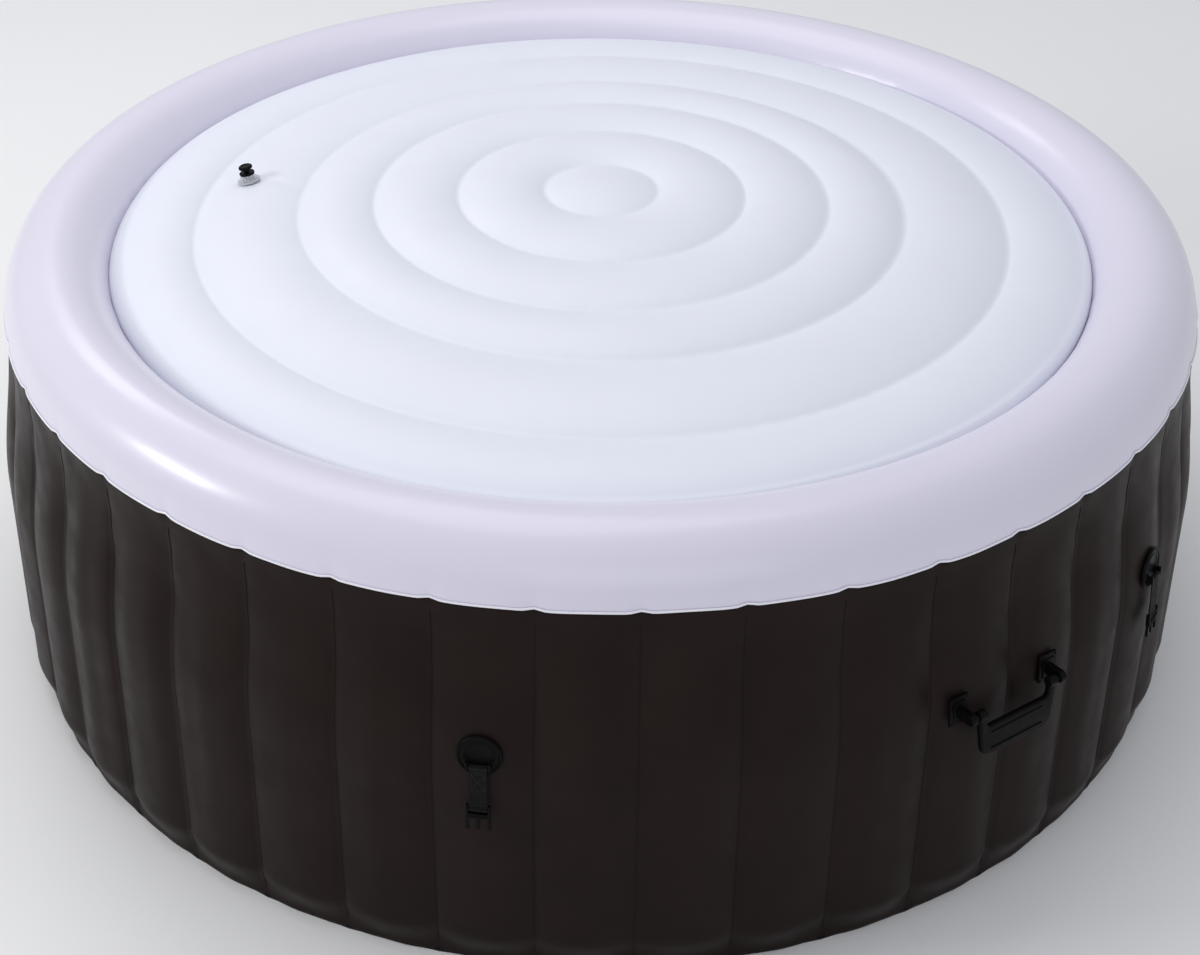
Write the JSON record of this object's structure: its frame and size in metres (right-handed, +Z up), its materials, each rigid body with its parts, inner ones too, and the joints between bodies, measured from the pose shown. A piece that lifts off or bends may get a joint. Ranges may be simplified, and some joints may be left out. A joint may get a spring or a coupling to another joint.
{
  "type": "inflatable hot tub",
  "caption": "Round inflatable hot tub with ribbed black side wall, smooth pale top ring, inflated cover lying inside the ring, carry handles and cover straps.",
  "frame": {"origin": "on the ground at the centre of the tub", "axes": "+Z up out of the basin, -Y towards the shown front, +X to the right seen from the front"},
  "size_m": [1.8, 1.8276, 0.6796],
  "materials": {
    "wall_pvc": "soft satin black PVC sheet, welded in ribs",
    "ring_pvc": "glossy lavender-white PVC sheet",
    "liner_pvc": "satin pale PVC liner sheet",
    "base_pvc": "matt dark PVC ground sheet",
    "web_pvc": "pale reinforced web sheet inside the air chambers",
    "cover_pvc": "satin bluish white PVC sheet, inflated",
    "moulded_black": "satin black moulded plastic",
    "webbing": "woven black polyester webbing",
    "clear_pvc": "translucent soft PVC",
    "port_grey": "mid-grey moulded plastic",
    "seal_rubber": "matt black rubber seal"
  },
  "bodies": {
    "tub": {"air_port": "port_grey", "air_valve_body": "port_grey", "basin_floor": "liner_pvc", "bottom_sheet": "base_pvc", "bubble_channel": "liner_pvc", "buckle_patch_1": "moulded_black", "buckle_patch_2": "moulded_black", "buckle_patch_3": "moulded_black", "buckle_patch_4": "moulded_black", "drain_spigot": "port_grey", "handle_1_anchor_left": "moulded_black", "handle_1_anchor_right": "moulded_black", "handle_2_anchor_left": "moulded_black", "handle_2_anchor_right": "moulded_black", "inlet_port": "port_grey", "inlet_screen": "port_grey", "inner_wall": "liner_pvc", "outer_wall": "wall_pvc", "outlet_port": "port_grey", "outlet_screen": "port_grey", "top_ring": "ring_pvc", "wall_baffles": "web_pvc"},
    "cover": {"cover_bladder": "cover_pvc", "cover_valve_flange": "clear_pvc", "cover_web_1": "web_pvc", "cover_web_2": "web_pvc", "cover_web_3": "web_pvc", "cover_web_4": "web_pvc", "cover_web_5": "web_pvc"},
    "cover_stopper": {"cover_valve_stopper": "moulded_black"},
    "cover_cap": {"cover_valve_cap": "moulded_black"},
    "air_valve_stem": {"air_valve_stem": "moulded_black"},
    "air_plug": {"air_port_plug": "moulded_black"},
    "air_valve_seal_ring": {"air_valve_seal": "seal_rubber"},
    "air_valve_screw_cap": {"air_valve_cap": "moulded_black"},
    "drain_seal_ring": {"drain_seal": "seal_rubber"},
    "drain_screw_cap": {"drain_cap": "moulded_black"},
    "inlet_port_seal_ring": {"inlet_port_seal": "seal_rubber"},
    "inlet_port_screw_cap": {"inlet_port_cap": "moulded_black"},
    "outlet_port_seal_ring": {"outlet_port_seal": "seal_rubber"},
    "outlet_port_screw_cap": {"outlet_port_cap": "moulded_black"},
    "handle_1": {"handle_1_grip": "moulded_black"},
    "handle_2": {"handle_2_grip": "moulded_black"},
    "strap_1": {"buckle_webbing_1": "webbing", "buckle_plug_1": "moulded_black"},
    "strap_2": {"buckle_webbing_2": "webbing", "buckle_plug_2": "moulded_black"},
    "strap_3": {"buckle_webbing_3": "webbing", "buckle_plug_3": "moulded_black"},
    "strap_4": {"buckle_webbing_4": "webbing", "buckle_plug_4": "moulded_black"}
  },
  "joints": [
    {"name": "cover_lift", "type": "slide", "parent": "tub", "child": "cover", "axis": [0, 0, 1], "range_m": [0, 0.35]},
    {"name": "cover_stopper_pull", "type": "slide", "parent": "cover", "child": "cover_stopper", "axis": [-0.1862, 0.0212, 0.9823], "range_m": [0, 0.02]},
    {"name": "cover_cap_pull", "type": "slide", "parent": "cover_stopper", "child": "cover_cap", "axis": [-0.1862, 0.0212, 0.9823], "range_m": [0, 0.015]},
    {"name": "air_valve_press", "type": "slide", "parent": "tub", "child": "air_valve_stem", "axis": [-0.2788, -0.9494, -0.1449], "range_m": [0, 0.004], "stiffness_N_per_m": 150},
    {"name": "air_plug_pull", "type": "slide", "parent": "tub", "child": "air_plug", "axis": [0, 0.994, 0.1097], "range_m": [0, 0.025]},
    {"name": "air_valve_cap_travel", "type": "slide", "parent": "tub", "child": "air_valve_seal_ring", "axis": [0.2788, 0.9494, 0.1449], "range_m": [0, 0.0062]},
    {"name": "air_valve_cap_turn", "type": "hinge", "parent": "air_valve_seal_ring", "child": "air_valve_screw_cap", "pos_m": [0.25218, 0.85883, 0.40072], "axis": [0.2788, 0.9494, 0.1449], "range_deg": [0, 540]},
    {"name": "drain_cap_travel", "type": "slide", "parent": "tub", "child": "drain_seal_ring", "axis": [0, 1, 0], "range_m": [0, 0.0062]},
    {"name": "drain_cap_turn", "type": "hinge", "parent": "drain_seal_ring", "child": "drain_screw_cap", "pos_m": [0, 0.90497, 0.085], "axis": [0, 1, 0], "range_deg": [0, 540]},
    {"name": "inlet_port_cap_travel", "type": "slide", "parent": "tub", "child": "inlet_port_seal_ring", "axis": [0, 1, 0], "range_m": [0, 0.0062]},
    {"name": "inlet_port_cap_turn", "type": "hinge", "parent": "inlet_port_seal_ring", "child": "inlet_port_screw_cap", "pos_m": [0, 0.90405, 0.265], "axis": [0, 1, 0], "range_deg": [0, 540]},
    {"name": "outlet_port_cap_travel", "type": "slide", "parent": "tub", "child": "outlet_port_seal_ring", "axis": [0, 1, 0], "range_m": [0, 0.0062]},
    {"name": "outlet_port_cap_turn", "type": "hinge", "parent": "outlet_port_seal_ring", "child": "outlet_port_screw_cap", "pos_m": [0, 0.9046, 0.165], "axis": [0, 1, 0], "range_deg": [0, 540]},
    {"name": "handle_1_swing", "type": "hinge", "parent": "tub", "child": "handle_1", "pos_m": [0.53599, -0.74891, 0.34693], "axis": [-0.8132, -0.582, 0], "range_deg": [0, 100]},
    {"name": "handle_2_swing", "type": "hinge", "parent": "tub", "child": "handle_2", "pos_m": [-0.53599, 0.74891, 0.34693], "axis": [0.8132, 0.582, 0], "range_deg": [0, 100]},
    {"name": "strap_1_swing", "type": "hinge", "parent": "tub", "child": "strap_1", "pos_m": [-0.12887, -0.89628, 0.34569], "axis": [-0.9898, 0.1423, 0], "range_deg": [0, 150]},
    {"name": "strap_2_swing", "type": "hinge", "parent": "tub", "child": "strap_2", "pos_m": [0.76175, -0.48955, 0.34569], "axis": [-0.5406, -0.8413, 0], "range_deg": [0, 150]},
    {"name": "strap_3_swing", "type": "hinge", "parent": "tub", "child": "strap_3", "pos_m": [0.12887, 0.89628, 0.34569], "axis": [0.9898, -0.1423, 0], "range_deg": [0, 150]},
    {"name": "strap_4_swing", "type": "hinge", "parent": "tub", "child": "strap_4", "pos_m": [-0.76175, 0.48955, 0.34569], "axis": [0.5406, 0.8413, 0], "range_deg": [0, 150]}
  ],
  "couplings": [
    {"joint": "air_valve_cap_travel", "follows": "air_valve_cap_turn", "m_per_rad": 0.00063662},
    {"joint": "drain_cap_travel", "follows": "drain_cap_turn", "m_per_rad": 0.00063662},
    {"joint": "inlet_port_cap_travel", "follows": "inlet_port_cap_turn", "m_per_rad": 0.00063662},
    {"joint": "outlet_port_cap_travel", "follows": "outlet_port_cap_turn", "m_per_rad": 0.00063662}
  ]
}
